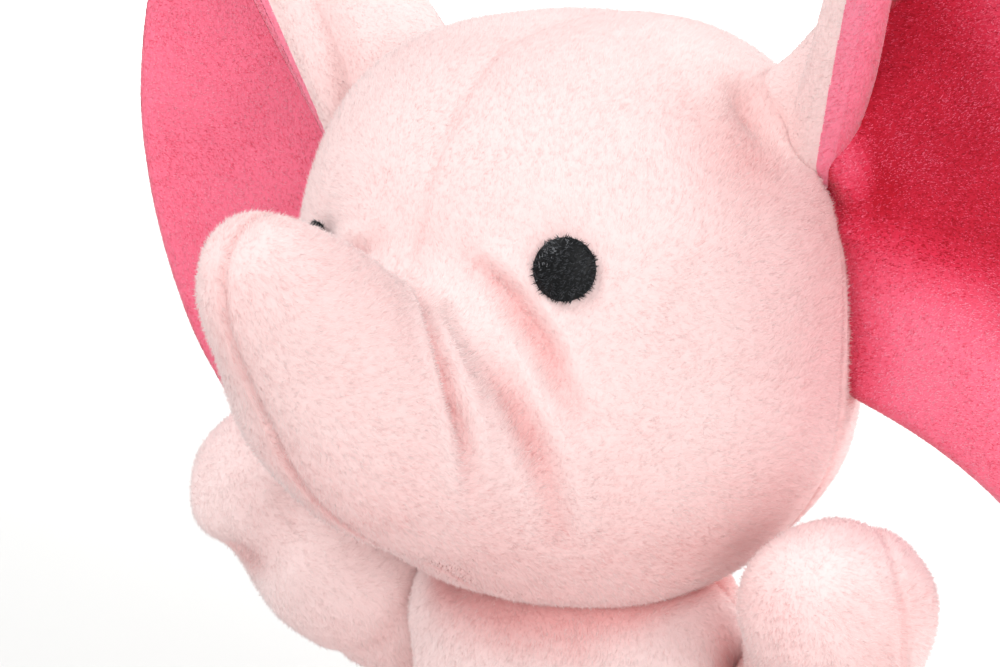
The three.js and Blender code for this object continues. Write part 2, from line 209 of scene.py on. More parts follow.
def tube_field(p, spine):
    """Distance to a row of balls, each x, y, z, radius."""
    best = np.full(len(p), 1e9)
    for x, y, z, r in spine:
        gap = np.sqrt((p[:, 0] - x) ** 2 + (p[:, 1] - y) ** 2 + (p[:, 2] - z) ** 2) - r
        np.minimum(best, gap, out=best)
    return best


trunk_spine = curve(np.column_stack([0 * TRUNK[:, 0], TRUNK + [HEAD[1], HEAD[2], 0]]), 70, False)


def face_field(p):
    """Distance to the head and trunk as one, blended over 9 mm where they meet."""
    return smooth_min(head_field(p), tube_field(p, trunk_spine), 9)


def ear_curves(side):
    """Root and rim points of an ear as if it were the left one; the root lies on the head."""
    root, rim = np.array(EAR_ROOT, float), np.array(EAR_RIM, float)
    if side == "right":
        root, rim = root + RIGHT_ROOT_SHIFT, rim + RIGHT_RIM_SHIFT
    return root / head_reach(root)[:, None], rim


def eye_spot(sign, height, turn):
    """Where an eye sits on the face, and the direction it looks."""
    angle = math.radians(turn)
    out = unit([sign * math.sin(angle), -math.cos(angle), height / HEAD_RADII[1]])
    spot = HEAD + out * 50
    for _ in range(8):
        spot = spot - out * face_field(spot[None])[0]
    return spot, out


EYES = {"left": eye_spot(1, 18.2, 32.6), "right": eye_spot(-1, 14.7, 30.2)}


# ---- Meshes -------------------------------------------------------------------------------------
def triangles(faces):
    if faces.shape[1] == 3:
        return faces
    return np.vstack([faces[:, [0, 1, 2]], faces[:, [0, 2, 3]]])


def vertex_normals(verts, faces):
    tri = triangles(faces)
    a, b, c = (verts[tri[:, k]] for k in range(3))
    face = np.cross(b - a, c - a)
    total = np.zeros_like(verts)
    for k in range(3):
        np.add.at(total, tri[:, k], face)
    return total / np.maximum(np.linalg.norm(total, axis=1, keepdims=True), 1e-12)


def raised(verts, normals, height):
    return verts + normals * height[:, None]


def gradient(field, p, step=0.2):
    return np.stack([(field(p + d) - field(p - d)) / (2 * step) for d in np.eye(3) * step], 1)


def surface(field, lowest, highest, step):
    """Vertices and quads of field's zero surface inside a box."""
    block, passes = 4, 3
    lowest = np.asarray(lowest, float)
    blocks = np.ceil((np.asarray(highest) - lowest) / (block * step)).astype(int)
    corner = np.stack(np.meshgrid(*[np.arange(n) for n in blocks], indexing="ij"), -1)
    coarse = field((lowest + (corner + 0.5) * block * step).reshape(-1, 3)).reshape(blocks)
    values = coarse.repeat(block, 0).repeat(block, 1).repeat(block, 2)
    close = np.abs(values) < 6 * step
    values[close] = field(lowest + np.argwhere(close) * step)
    volume = openvdb.FloatGrid(100.0)
    volume.copyFromArray(values.astype(np.float32))
    verts, quads = volume.convertToQuads(isovalue=0.0)
    verts = verts.astype(float) * step + lowest
    for _ in range(passes):
        value, slope = field(verts), gradient(field, verts)
        verts -= slope * (value / np.maximum((slope**2).sum(1), 1e-6))[:, None]
    quads = quads.astype(int)
    outward = (vertex_normals(verts, quads) * gradient(field, verts)).sum()
    return verts, quads if outward > 0 else quads[:, ::-1]


def tube_surface(points, count, margin, step):
    """Skin of a row of balls along a curve through points, each x, y, z, radius."""
    spine = curve(points, count, False)
    places = spine[:, :3]
    return surface(lambda p: tube_field(p, spine), places.min(0) - margin, places.max(0) + margin, step)


def sheet_quads(rows, columns):
    """Quads of a grid of points with free edges."""
    g = np.arange(rows * columns).reshape(rows, columns)
    return np.stack([g[:-1, :-1], g[:-1, 1:], g[1:, 1:], g[1:, :-1]], -1).reshape(-1, 4)


def tube_quads(rows, columns, first=0):
    """Quads of rows of points, each row a ring."""
    g = np.arange(rows * columns).reshape(rows, columns) + first
    beyond = np.roll(g, -1, 1)
    return np.stack([g[:-1], g[1:], beyond[1:], beyond[:-1]], -1).reshape(-1, 4)


def revolved(profile, rows, sides, depth=1.0):
    """A lathe grid from radius and height pairs: vertices, quads."""
    line = curve(profile, rows)
    angle = np.linspace(0, 2 * math.pi, sides, endpoint=False)
    x, y = np.outer(line[:, 0], np.cos(angle)), np.outer(line[:, 0], np.sin(angle)) * depth
    z = np.repeat(line[:, 1:], sides, 1)
    grid = np.arange(rows * sides).reshape(rows, sides)
    beyond = np.roll(grid, -1, 1)
    quads = np.stack([grid[:-1], beyond[:-1], beyond[1:], grid[1:]], -1)
    return np.stack([x, y, z], -1).reshape(-1, 3), quads.reshape(-1, 4)


def kept(verts, faces, mask, *extra):
    """The faces picked by mask with only their own vertices, and what extra says of those."""
    faces = faces[mask]
    used, index = np.unique(faces, return_inverse=True)
    return (verts[used], index.reshape(faces.shape), *(e[used] for e in extra))


# ---- Materials ----------------------------------------------------------------------------------
def srgb(r, g, b):
    def linear(c):
        c /= 255
        return c / 12.92 if c <= 0.04045 else ((c + 0.055) / 1.055) ** 2.4
    return [linear(r), linear(g), linear(b), 1.0]


def plain(name, colour, roughness=0.9, sheen=0.0):
    material = bpy.data.materials.new(name)
    material.use_nodes = True
    shader = material.node_tree.nodes["Principled BSDF"]
    shader.inputs["Base Color"].default_value = colour
    shader.inputs["Roughness"].default_value = roughness
    shader.inputs["Sheen Weight"].default_value = sheen
    shader.inputs["Sheen Roughness"].default_value = 0.4
    shader.inputs["Specular IOR Level"].default_value = 0.2
    return material


def ramp(name, colours, count):
    """count materials stepping evenly through the colours."""
    steps = np.linspace(0, len(colours) - 1, count)
    mixed = np.stack([np.interp(steps, range(len(colours)), channel) for channel in zip(*colours)], 1)
    return [plain(f"{name}_{i}", colour, 0.8, 0.3) for i, colour in enumerate(mixed)]


def velour(name, colours):
    """A velour's materials, deepest shade first: its skin's, in fine steps, and its pile's."""
    return ramp(f"{name}_skin", colours, 31), ramp(f"{name}_pile", colours, len(colours))


# Each from its deepest shade to its lightest.
# The deepest shades mostly carry painted shade, in creases, under parts and in the left ear's lining; the
# lightest also carry painted highlights.
PALE = [srgb(236, 172, 170), srgb(242, 192, 190), srgb(247, 210, 208), srgb(250, 221, 219),
        srgb(252, 228, 226), srgb(254, 234, 232), srgb(255, 238, 236)]
HOT = [srgb(188, 18, 42), srgb(222, 48, 78), srgb(240, 82, 112), srgb(250, 108, 138),
       srgb(255, 134, 162), srgb(255, 156, 180)]
# Black thread, the two lightest shades being painted highlights on it.
BLACK_AND_HIGHLIGHTS = [srgb(12, 13, 15), srgb(19, 20, 22), srgb(28, 29, 32), srgb(66, 68, 72), srgb(130, 132, 136)]
# The usual tone of each velour, counted along its shades.
PALE_TONE, HOT_TONE = 3.8, 3.6

pale_velour = velour("pale", PALE)
hot_velour = velour("hot", HOT)
black_thread_and_highlights = [plain(f"black_thread_and_highlights_{i}", shade, 0.4, 0.2) for i, shade in enumerate(BLACK_AND_HIGHLIGHTS)]
pink_thread = plain("pink_thread", srgb(238, 182, 184), 0.7)
satin = plain("satin", srgb(248, 247, 244), 0.35, 0.3)

PALE_SLOT, HOT_SLOT = "pale_pink_plush", "hot_pink_plush"


# ---- Making pieces ------------------------------------------------------------------------------
def make(name, verts, faces, materials, slots=None, normals=None):
    """A smooth mesh object from millimetre vertices."""
    mesh = bpy.data.meshes.new(name)
    mesh.vertices.add(len(verts))
    mesh.vertices.foreach_set("co", (np.asarray(verts) * MM).astype(np.float32).ravel())
    corners = faces.shape[1]
    mesh.loops.add(faces.size)
    mesh.loops.foreach_set("vertex_index", faces.astype(np.int32).ravel())
    mesh.polygons.add(len(faces))
    mesh.polygons.foreach_set("loop_start", np.arange(0, faces.size, corners, dtype=np.int32))
    for material in materials:
        mesh.materials.append(material)
    if slots is not None:
        mesh.polygons.foreach_set("material_index", slots.astype(np.int32))
    mesh.update(calc_edges=True)
    mesh.polygons.foreach_set("use_smooth", np.ones(len(faces), bool))
    if normals is not None:
        mesh.normals_split_custom_set_from_vertices(normals.astype(np.float32).tolist())
    obj = bpy.data.objects.new(name, mesh)
    bpy.context.scene.collection.objects.link(obj)
    return obj


def scattered(verts, faces, density, r):
    """density random spots per square millimetre: each one's triangle and its corners' shares."""
    tri = triangles(faces)
    a, b, c = (verts[tri[:, k]] for k in range(3))
    area = np.linalg.norm(np.cross(b - a, c - a), axis=1) / 2
    count = int(area.sum() * density)
    pick = r.choice(len(tri), count, p=area / area.sum())
    u, v = r.random(count), r.random(count)
    flip = u + v > 1
    u[flip], v[flip] = 1 - u[flip], 1 - v[flip]
    return tri[pick], np.stack([1 - u - v, u, v], 1)[:, :, None]


def pile(name, verts, faces, normals, shades, tone, nap, density,
         length=1.3, width=0.13, lean=70, seed=1, grain=1):
    """Short fibres all over a skin, combed along nap(points), each one thin triangle.

    tone picks among shades. lean is from the skin's normal, in degrees. grain is how much the
    shade varies from fibre to fibre.
    """
    r = np.random.default_rng(seed)
    corners, share = scattered(verts, faces, density, r)
    base = (share * verts[corners]).sum(1)
    normal = unit((share * normals[corners]).sum(1))
    level = (share[:, :, 0] * tone[corners]).sum(1)
    off_floor = base[:, 2] > 1
    base, normal, level = base[off_floor], normal[off_floor], level[off_floor]
    count = len(base)

    way = unit(nap(base))
    streak = ripple(base - 0.8 * (base * way).sum(1)[:, None] * way, 0.55, seed + 100)
    way = way + 0.28 * r.normal(size=(count, 3))
    way = unit(way - normal * (way * normal).sum(1)[:, None])
    tilt = np.radians(np.clip(lean - 6 * streak + 9 * r.normal(size=count), 10, 84))[:, None]
    size = length * r.uniform(0.65, 1.25, count)[:, None]
    tip = base + size * (normal * np.cos(tilt) + way * np.sin(tilt))
    twist = 0.35 * r.uniform(-1, 1, count)[:, None]
    edge = unit(np.cross(way, normal) + twist * way) * (width / 2)
    root = base - normal * 0.12
    points = np.stack([root - edge, root + edge, tip], 1).reshape(-1, 3)

    mottle = np.clip(grain * (1.1 * streak + 0.5 * r.normal(size=count)), -1.6, 1.6)
    shade = np.clip(np.round(level + 0.5 * ripple(base, 10, seed) + mottle), 0, len(shades) - 1)
    soft = unit(normal + 0.18 * r.normal(size=(count, 3)))
    fibres = np.arange(3 * count).reshape(-1, 3)
    return make(name, points, fibres, shades, shade, np.repeat(soft, 3, 0))


def combed(way):
    """A nap that follows one direction, stirred by slow swirls."""
    def nap(p):
        swirl = np.stack([ripple(p, 14, 31), ripple(p, 14, 32), ripple(p, 14, 33)], 1)
        return np.array(way, float) + 0.55 * swirl
    return nap


def skinned(name, verts, faces, velour, tone, nap, join, slot, nodes, normals=None, **fur):
    """A skin and its pile, both joined to the frame by join(obj).

    tone, one for all or one at each vertex, picks their shades. nodes are the frame's nodes that
    the skin stands for.
    """
    if normals is None:
        normals = vertex_normals(verts, faces)
    skins, shades = velour
    tone = np.broadcast_to(np.asarray(tone, float), len(verts))
    picked = (tone[faces].mean(1) - 0.5) * (len(skins) - 1) / (len(shades) - 1)
    picked = np.clip(np.round(picked), 0, len(skins) - 1)
    verts = verts - 0.4 * normals
    cover = make(name, verts, faces, skins, picked, normals)
    hair = pile(name + "_pile", verts, faces, normals, shades, tone, nap, **fur)
    for obj in (cover, hair):
        join(obj)
    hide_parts(*nodes)


def riding(body):
    return lambda obj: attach(obj, body)


def bending():
    """Leaves a piece on no body: its placement is baked into its mesh."""
    return lambda obj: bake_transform(obj)


# ---- Head and trunk -----------------------------------------------------------------------------
# Folds and bumps are from the head's middle, on the left.
FACE_FOLDS = [
    ([[3, -53, 16], [15, -63, 11], [20, -64, 1], [21, -62, -8], [20, -59, -18]], 1.8, 2.4),
    ([[10, -49, 19], [18, -48, 14], [26, -46, 4], [29, -45, -3], [32, -42, -9]], 2.1, 2.4),
    ([[18, -54, 5], [23, -52, -2], [27, -49, -13], [28, -46, -23], [26, -42, -32]], 2.4, 2.7),
]
DIMPLE, DIMPLE_SIZE = [40, -2, 41], [5, 6, 9]  # in front of the ear's root
HEAD_BUMPS = [
    ([40, 8, 45], 6.5, 3.2),  # the gathered top of the ear's root
    ([35, -6, 47], 6, 1.0),
    (DIMPLE, DIMPLE_SIZE, -4.2),
    ([22, 8, 54], [24, 26, 14], 1.2),  # crown
    ([46, 20, -24], [14, 20, 14], 1.6),  # behind the cheek
    ([13, -90, 6], [16, 12, 18], -1.7),  # the trunk's tip is narrower at its sides
]


def head_mesh():
    """Vertices, quads, normals and tone of the head and trunk as one skin."""
    verts, faces = surface(face_field, [-60, -106, 92], [60, 52, 210], STEP)
    rel = verts - HEAD
    snout = np.clip((-60 - rel[:, 1]) / 10, 0, 1)
    height = seam(rel[:, 0], 0.8, 0.45 + 0.25 * snout) + seam(rel[:, 0], 3.5, 0.2 + 0.3 * snout)
    height += seam(rel[:, 1] - 10, 0.9, 0.7) + folds(rel, FACE_FOLDS)
    # Painted shade: deeper pinks in the grooves and towards the bottom of the head; out along the trunk the
    # tone is also half a shade deeper.
    tone = PALE_TONE + 1.2 * np.clip(height, -2.5, 0.3) - 1.6 * step_up(-rel[:, 2], 0, 42) - 0.5 * snout
    height += 0.25 * ripple(verts, 11, 3) + 0.55 * ripple(verts, 26, 4)
    for spot, _ in EYES.values():
        height -= 0.9 * near(verts, spot + [0, 0, 1.5], 8)
    for side, sign in SIDES.items():
        from_ear = away(rel, mirror(curve(ear_curves(side)[0], 60), sign))
        height += bumps(rel, HEAD_BUMPS, sign) - bell(from_ear, 2.2)
        # Painted shade in the dimple and on a patch below it, and a painted shadow line along each ear's
        # root.
        tone -= bumps(rel, [(DIMPLE, DIMPLE_SIZE, 1.2), ([41, -12, 34], [10, 10, 9], 1.9)], sign)
        tone -= 3.5 * bell(from_ear, 1.5)
    verts = raised(verts, vertex_normals(verts, faces), height)
    return verts, faces, vertex_normals(verts, faces), tone


def head_and_trunk():
    verts, faces, normals, tone = head_mesh()
    middle = verts[faces].mean(1)
    on_trunk = (middle - TRUNK_PIVOT) @ TRUNK_BEND > -7
    on_face = ~on_trunk & (middle[:, 1] < HEAD[1] + 10)
    on_back = ~on_trunk & ~on_face
    curling = bending()
    panels = [
        ("face_skin", on_face, [0, 1, 0.45], riding("head"), 11,
         ["face_left", "face_right", "head_stuffing"]),
        ("head_back_skin", on_back, [0, 1, 0.1], riding("head"), 12,
         ["head_back_left", "head_back_right"]),
        ("trunk_skin", on_trunk, [0, 1, -0.15], curling, 21,
         ["trunk_left", "trunk_right", "trunk_stuffing"]),
    ]
    for name, mask, way, join, seed, nodes in panels:
        v, f, n, t = kept(verts, faces, mask, normals, tone)
        skinned(name, v, f, pale_velour, t, combed(way), join, PALE_SLOT, nodes, n, density=FUR, seed=seed)


# ---- Eyes: raised ovals of short black thread ---------------------------------------------------
EYE_RADIUS, EYE_RISE = 5.35, 1.1


def eye(side, spot, out, rings=12, sides=64):
    level = unit(np.cross([0, 0, 1.0], out))
    rise = np.cross(out, level)
    ring = np.repeat(np.linspace(0, EYE_RADIUS, rings), sides)
    angle = np.tile(np.linspace(0, 2 * math.pi, sides, endpoint=False), rings)
    flat = spot + np.outer(ring * np.cos(angle), level) + np.outer(ring * np.sin(angle), rise)
    flat = flat - out * face_field(flat)[:, None]
    dome = np.sqrt(np.clip(1 - (ring / 5.5) ** 2, 0, 1))
    bed = flat + out * (0.1 + EYE_RISE * dome)[:, None]
    quads = tube_quads(rings, sides)
    cushion = make(f"eye_{side}_bed", bed, quads, [black_thread_and_highlights[0]])

    def spray(p):
        slanting = level + 0.35 * rise
        return (p - spot) / 6 + np.sign(ripple(p, 0.7, 41))[:, None] * slanting

    # The grey fibres among the tufts are painted highlights.
    tufts = pile(f"eye_{side}_stitches", bed, quads, vertex_normals(bed, quads), black_thread_and_highlights,
                 np.full(len(bed), 2.0), spray, 26, length=0.9, width=0.17, lean=52, seed=44, grain=1.5)
    for obj in (cushion, tufts):
        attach(obj, "head")
    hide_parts(f"eye_{side}")


# ---- Torso and neck -----------------------------------------------------------------------------
TORSO_DEPTH = 0.94  # front to back, as a share of its width
TORSO = [[0, 0], [20, 0], [26, 0.4], [33, 4.5], [38.5, 13], [41.5, 26], [41, 41], [38.5, 57],
         [35, 70], [33.2, 80], [32.4, 88], [31, 94], [28, 99], [23, 102]]
NECK = [[26, 92], [24, 95], [22.5, 98], [23.5, 101], [25, 104], [26, 108], [24, 112]]
TORSO_FOLDS = [
    ([[14, -33, 66], [22, -27, 73], [29, -18, 79]], 1.8, 1.6),  # below the arm
    ([[8, -38, 24], [20, -36, 33], [33, -27, 37]], 2.2, 1.8),  # over the leg
    ([[30, 22, 60], [34, 12, 66], [37, 4, 60]], 1.8, 1.4),  # behind the arm
]
SHOULDER_BUMPS = [([31, -10, 88], 12, 3.5), ([32, 0, 92], 9, 2.5)]
ARMPIT_SHADE = [([35.5, -5, 84], [4.5, 5, 16], 3.4)]


def torso():
    rows, sides = ((150, 260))
    verts, faces = revolved(TORSO, rows, sides, TORSO_DEPTH)
    x, y, z = verts.T
    height = 0.6 * ripple(verts, 24, 5) + 0.25 * ripple(verts, 9, 6)
    height += seam(y - 6) * (np.abs(x) > 15) + seam(y - 6, 4, 0.6)
    height += seam(x) * (y > 0) + seam(z - 4, 0.9, 0.7) + folds(verts, TORSO_FOLDS)
    for sign in SIDES.values():
        height += bumps(verts, SHOULDER_BUMPS, sign)
    verts = raised(verts, vertex_normals(verts, faces), height * np.clip(z / 4, 0, 1))
    # Painted shade: deeper pinks in the grooves, much deeper under the chin and in the armpits; the rest of
    # the torso is 0.4 of a shade lighter than the usual tone.
    under_chin_shade = step_up(verts[:, 2], 86, 92) * step_up(-np.hypot(verts[:, 0], verts[:, 1]), -33, -28)
    tone = PALE_TONE + 0.4 + 1.2 * np.clip(height, -2, 0.1) - 3.4 * under_chin_shade
    for sign in SIDES.values():
        tone -= bumps(verts, ARMPIT_SHADE, sign)
    nodes = ["belly_panel", "back_panel_left", "back_panel_right", "seat_panel", "torso_stuffing",
             "pellet_pouch"]
    skinned("torso_skin", verts, faces, pale_velour, tone, combed([0, 0.2, -1]), riding("torso"), PALE_SLOT,
            nodes, density=FUR, seed=13)


def neck(gathers=40):
    verts, faces = revolved(NECK, 36, 160)
    height = 0.35 * np.sin(np.arctan2(verts[:, 1], verts[:, 0]) * gathers)
    verts = raised(verts, vertex_normals(verts, faces), height)
    # Its pile is two shades deeper: painted shade where the neck lies between head and torso.
    skinned("neck_gathers", verts, faces, pale_velour, PALE_TONE - 2, combed([0, 0, -1]), riding("neck"),
            PALE_SLOT, ["neck_stuffing"], density=1, seed=20)


def torso_back(z):
    """How far back the torso reaches on its middle line at height z."""
    return TORSO_DEPTH * np.interp(z, [13, 26, 41, 57, 70], [38.5, 41.5, 41, 38.5, 35])


def closing_stitches(radius=0.28, rows=14, sides=8):
    """Hand stitches across the seam that closes the back, each a thin tube."""
    angle = np.linspace(0, 2 * math.pi, sides, endpoint=False)
    all_verts, all_faces = [], []
    for i, z in enumerate(np.arange(37, 57, 2.6)):
        back = torso_back(z)
        lean = 0.25 * math.sin(5 * i)
        line = curve([[-1.7, back - 0.6, z], [-0.8, back + 0.45, z + 0.3],
                      [0.8, back + 0.45, z + 0.9 + lean], [1.7, back - 0.6, z + 1.2 + lean]], rows)
        along = unit(np.gradient(line, axis=0))
        side = unit(np.cross(along, [0.31, 0.22, 0.92]))
        up = np.cross(along, side)
        ring = side[:, None] * np.cos(angle)[:, None] + up[:, None] * np.sin(angle)[:, None]
        all_verts.append((line[:, None] + radius * ring).reshape(-1, 3))
        all_faces.append(tube_quads(rows, sides, rows * sides * i))
    obj = make("closing_stitches", np.vstack(all_verts), np.vstack(all_faces), [pink_thread])
    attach(obj, "torso")
    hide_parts("closing_seam_thread")


def blank_label(width=14, drop_length=11.5, columns=60, rows=70):
    """A woven ribbon folded double, let into the seat seam and hanging just clear of the floor."""
    across, along = np.meshgrid(np.linspace(-width / 2, width / 2, columns), np.linspace(-1, 1, rows),
                                indexing="ij")
    drop = drop_length * (1 - np.abs(along))
    layer = np.sign(along)
    apart = 0.38 * layer * np.clip((drop_length - drop) / 1.2, 0, 1)
    weave = 0.035 * np.sin(across * 14) + 0.035 * np.sin(drop * 14)
    sag = 0.8 * (across / 7) ** 2 * drop / drop_length + 0.3 * np.sin(drop / 5)
    behind = 39 + 0.18 * drop + apart + weave * layer + sag
    label = np.stack([across - 17, behind, 12 - drop], -1).reshape(-1, 3)
    ribbon = make("blank_label", label, sheet_quads(columns, rows), [satin])
    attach(ribbon, "torso")
    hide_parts("care_label")


# ---- Arms, legs and tail ------------------------------------------------------------------------
# Radius and distance from the shoulder.
ARM = {"left": [[14, 0], [13.2, 7], [13.7, 18], [15.5, 32], [16.8, 47]],
       "right": [[14, 0], [14.8, 7], [16.8, 18], [17.4, 32], [16.6, 47]]}
ARM_BOW = {"left": [3.2, 2.2, 0], "right": [0, 0, 0]}
ARM_BUMPS = {"left": [([54, -26, 114], 12, 1.2), ([40, -16, 99], 7, 1.8)],
             "right": [([65, -27, 95], [7, 9, 5], -3.2), ([70, -34, 101], 7, 1.2), ([55, -12, 82], 14, 2.2)]}
# Radius and distance from the hip.
LEG = [[0, -16], [8, -14], [13.5, -8.5], [16, 0], [16.6, 9], [18, 21], [20.2, 38], [21, 50],
       [19.8, 57], [17.2, 60.4], [16.4, 61.4]]
SOLE = [[0, 63.2], [6, 63.1], [11, 62.7], [14.6, 61.9], [16.2, 61.1], [16.9, 60.3]]
# Radius and distance from the tail's root.
TAIL_STATIONS = [[4.6, 0], [4.2, 8], [4.0, 18], [5.2, 27]]


def arm(side, sign):
    shoulder, along = mirror(SHOULDER, sign), mirror(ARM_ALONG, sign)
    bow = np.array(ARM_BOW[side])
    points = [[*(shoulder + along * a + bow * math.sin(math.pi * min(a / 50, 1))), r] for r, a in ARM[side]]
    verts, faces = tube_surface(points, 60, 21, STEP)
    outward = unit(np.cross(along, [0, 0, 1])) * sign
    from_seam = (verts - shoulder) @ outward + 7
    far = (verts - shoulder) @ along
    height = seam(from_seam, 0.9, 0.6) + seam(from_seam, 4, 0.3)
    height += 0.45 * ripple(verts, 15, 8) + 0.2 * ripple(verts, 6, 28)
    height += seam(far - 12 - 2 * ripple(verts, 16, 9), 2.2, 0.8) + bumps(verts, ARM_BUMPS[side], sign)
    verts = raised(verts, vertex_normals(verts, faces), height)
    # Painted shade in the grooves and near the shoulder.
    tone = PALE_TONE + 1.2 * np.clip(height, -2, 0.1) - 1.1 * step_up(-far, -26, -4)
    # Painted light: the left arm is a shade darker, with a painted highlight along its top; the right arm is
    # a little lighter.
    if side == "left":
        tone += 2.4 * step_up(verts[:, 2], 112, 123) - 1.1
    else:
        tone += 0.6
    nodes = [f"arm_{side}_front", f"arm_{side}_back", f"arm_{side}_stuffing"]
    skinned(f"arm_{side}_skin", verts, faces, pale_velour, tone, combed([0, 1, -0.3]),
            riding(f"arm_{side}"), PALE_SLOT, nodes, density=FUR, seed=14)


def leg(side, sign):
    hip, along = mirror(HIP, sign), mirror(LEG_ALONG, sign)
    turn = np.stack([np.cross([0, 0, 1], along), [0, 0, 1], along])
    verts, faces = revolved(LEG, 100, 150)
    verts = verts @ turn + hip
    from_seam, far = (verts - hip) @ turn[0], (verts - hip) @ along
    height = seam(from_seam) + seam(from_seam, 4, 0.5) + 0.45 * ripple(verts, 15, 9 + sign)
    height += seam(far - 14 - 2.5 * ripple(verts, 16, 10), 2.2, 1.0) + seam(far - 60.5, 0.8, 0.8)
    verts = raised(verts, vertex_normals(verts, faces), height * np.clip(verts[:, 2] / 2, 0, 1))
    nodes = [f"leg_{side}_outer", f"leg_{side}_inner", f"leg_{side}_stuffing"]
    skinned(f"leg_{side}_skin", verts, faces, pale_velour, PALE_TONE, combed(along),
            riding(f"leg_{side}"), PALE_SLOT, nodes, density=FUR, seed=15)

    verts, faces = revolved(SOLE, 30, 110)
    verts = verts @ turn + hip
    verts = verts + along * (0.35 * ripple(verts, 9, 23))[:, None]
    # The sole's profile runs down from its middle, so its quads are turned to face out.
    skinned(f"leg_{side}_pad", verts, faces[:, ::-1], hot_velour, HOT_TONE, combed([0, 0, -1]),
            riding(f"leg_{side}"), HOT_SLOT, [f"leg_{side}_sole"], density=FUR, seed=16, grain=1.5)


def tail():
    points = [[*(TAIL + TAIL_ALONG * a), r] for r, a in TAIL_STATIONS]
    verts, faces = tube_surface(points, 50, 8, 0.7)
    height = seam(verts[:, 0] - TAIL[0], 0.7, 0.6) + 0.2 * ripple(verts, 6, 24)
    verts = raised(verts, vertex_normals(verts, faces), height)
    skinned("tail_skin", verts, faces, pale_velour, PALE_TONE, combed(TAIL_ALONG), riding("tail"), PALE_SLOT,
            ["tail"], density=FUR, seed=17)


# ---- Ears: quilted sheets curling forward at the top --------------------------------------------
EAR_CUP = 7.0  # how far the lower half bulges backward
EAR_HALF = 3.1  # half its thickness
EDGE_ROLL, FLAP_ROLL = 3.6, 5.4  # radius of the rolled edge, below and at the top
HEM = 1.6  # how far in from the edge the lining reaches behind
TOP_HEM = {"left": 1.4, "right": 0.5}  # the same along the top flap


def ear_sheet(root, rim, rows, columns):
    """The left ear's middle sheet [along the seam][out to the rim], points closer near free edges."""
    fine = 2001
    around = (1 - np.cos(np.linspace(0, math.pi, rows))) / 2
    out = np.sin(np.linspace(0, math.pi / 2, columns))
    at = np.clip((around * (fine - 1)).round().astype(int), 0, fine - 1)
    inner, outer = curve(root, fine)[at][:, None], curve(rim, fine)[at][:, None]
    inner = inner - 7 * unit(outer - inner)
    sheet = inner + (outer - inner) * out[None, :, None]
    lower = step_up(1 - around, 0.25, 0.6)
    sheet[..., 1] += EAR_CUP * np.sin(math.pi * out)[None] * lower[:, None]
    return sheet + HEAD


def ear_thickness(gap, from_flap, from_root):
    """Half the thickness at points by their distances to the edge, the top flap and the root."""
    roll = EDGE_ROLL + (FLAP_ROLL - EDGE_ROLL) * bell(from_flap, 9)
    half = roll * np.sqrt(1 - (1 - np.clip(gap / roll, 0, 1)) ** 2)
    half += (EAR_HALF - roll) * step_up(gap, roll, roll + 7)
    return half * (0.4 + 0.6 * step_up(from_root, 3, 9))


def lining_light_and_shade(side, bent, flat, from_flap, from_root):
    """Painted light and shade on the lining: a lighter band along the top as a painted highlight on its
    rolled edge, and painted shade at the root.

    On the left one, a painted shadow of the flap and head above a slanting line, fading out away from the
    root.
    """
    flap_shadow = 0
    if side == "left":
        # The painted shadow of the flap and head on the left ear.
        above = 0.45 * (bent[:, 0] - 52) - (HEAD[2] - bent[:, 2]) - 3 * ripple(flat, 16, 51)
        flap_shadow = step_up(above, 8, 32) * (1 - 0.75 * step_up(from_root, 34, 62))
    softness = 0.4 + 3 * step_up(-from_root, -22, -9)
    # A painted highlight along the rolled top edge, and painted shade near the root.
    lit_band = step_up(7.5 * step_up(from_root, 2, 10) - from_flap, -softness, softness)
    return 4.0 - 3.2 * flap_shadow * (1 - lit_band) + 0.5 * lit_band - 1.4 * bell(from_root - 7, 6)


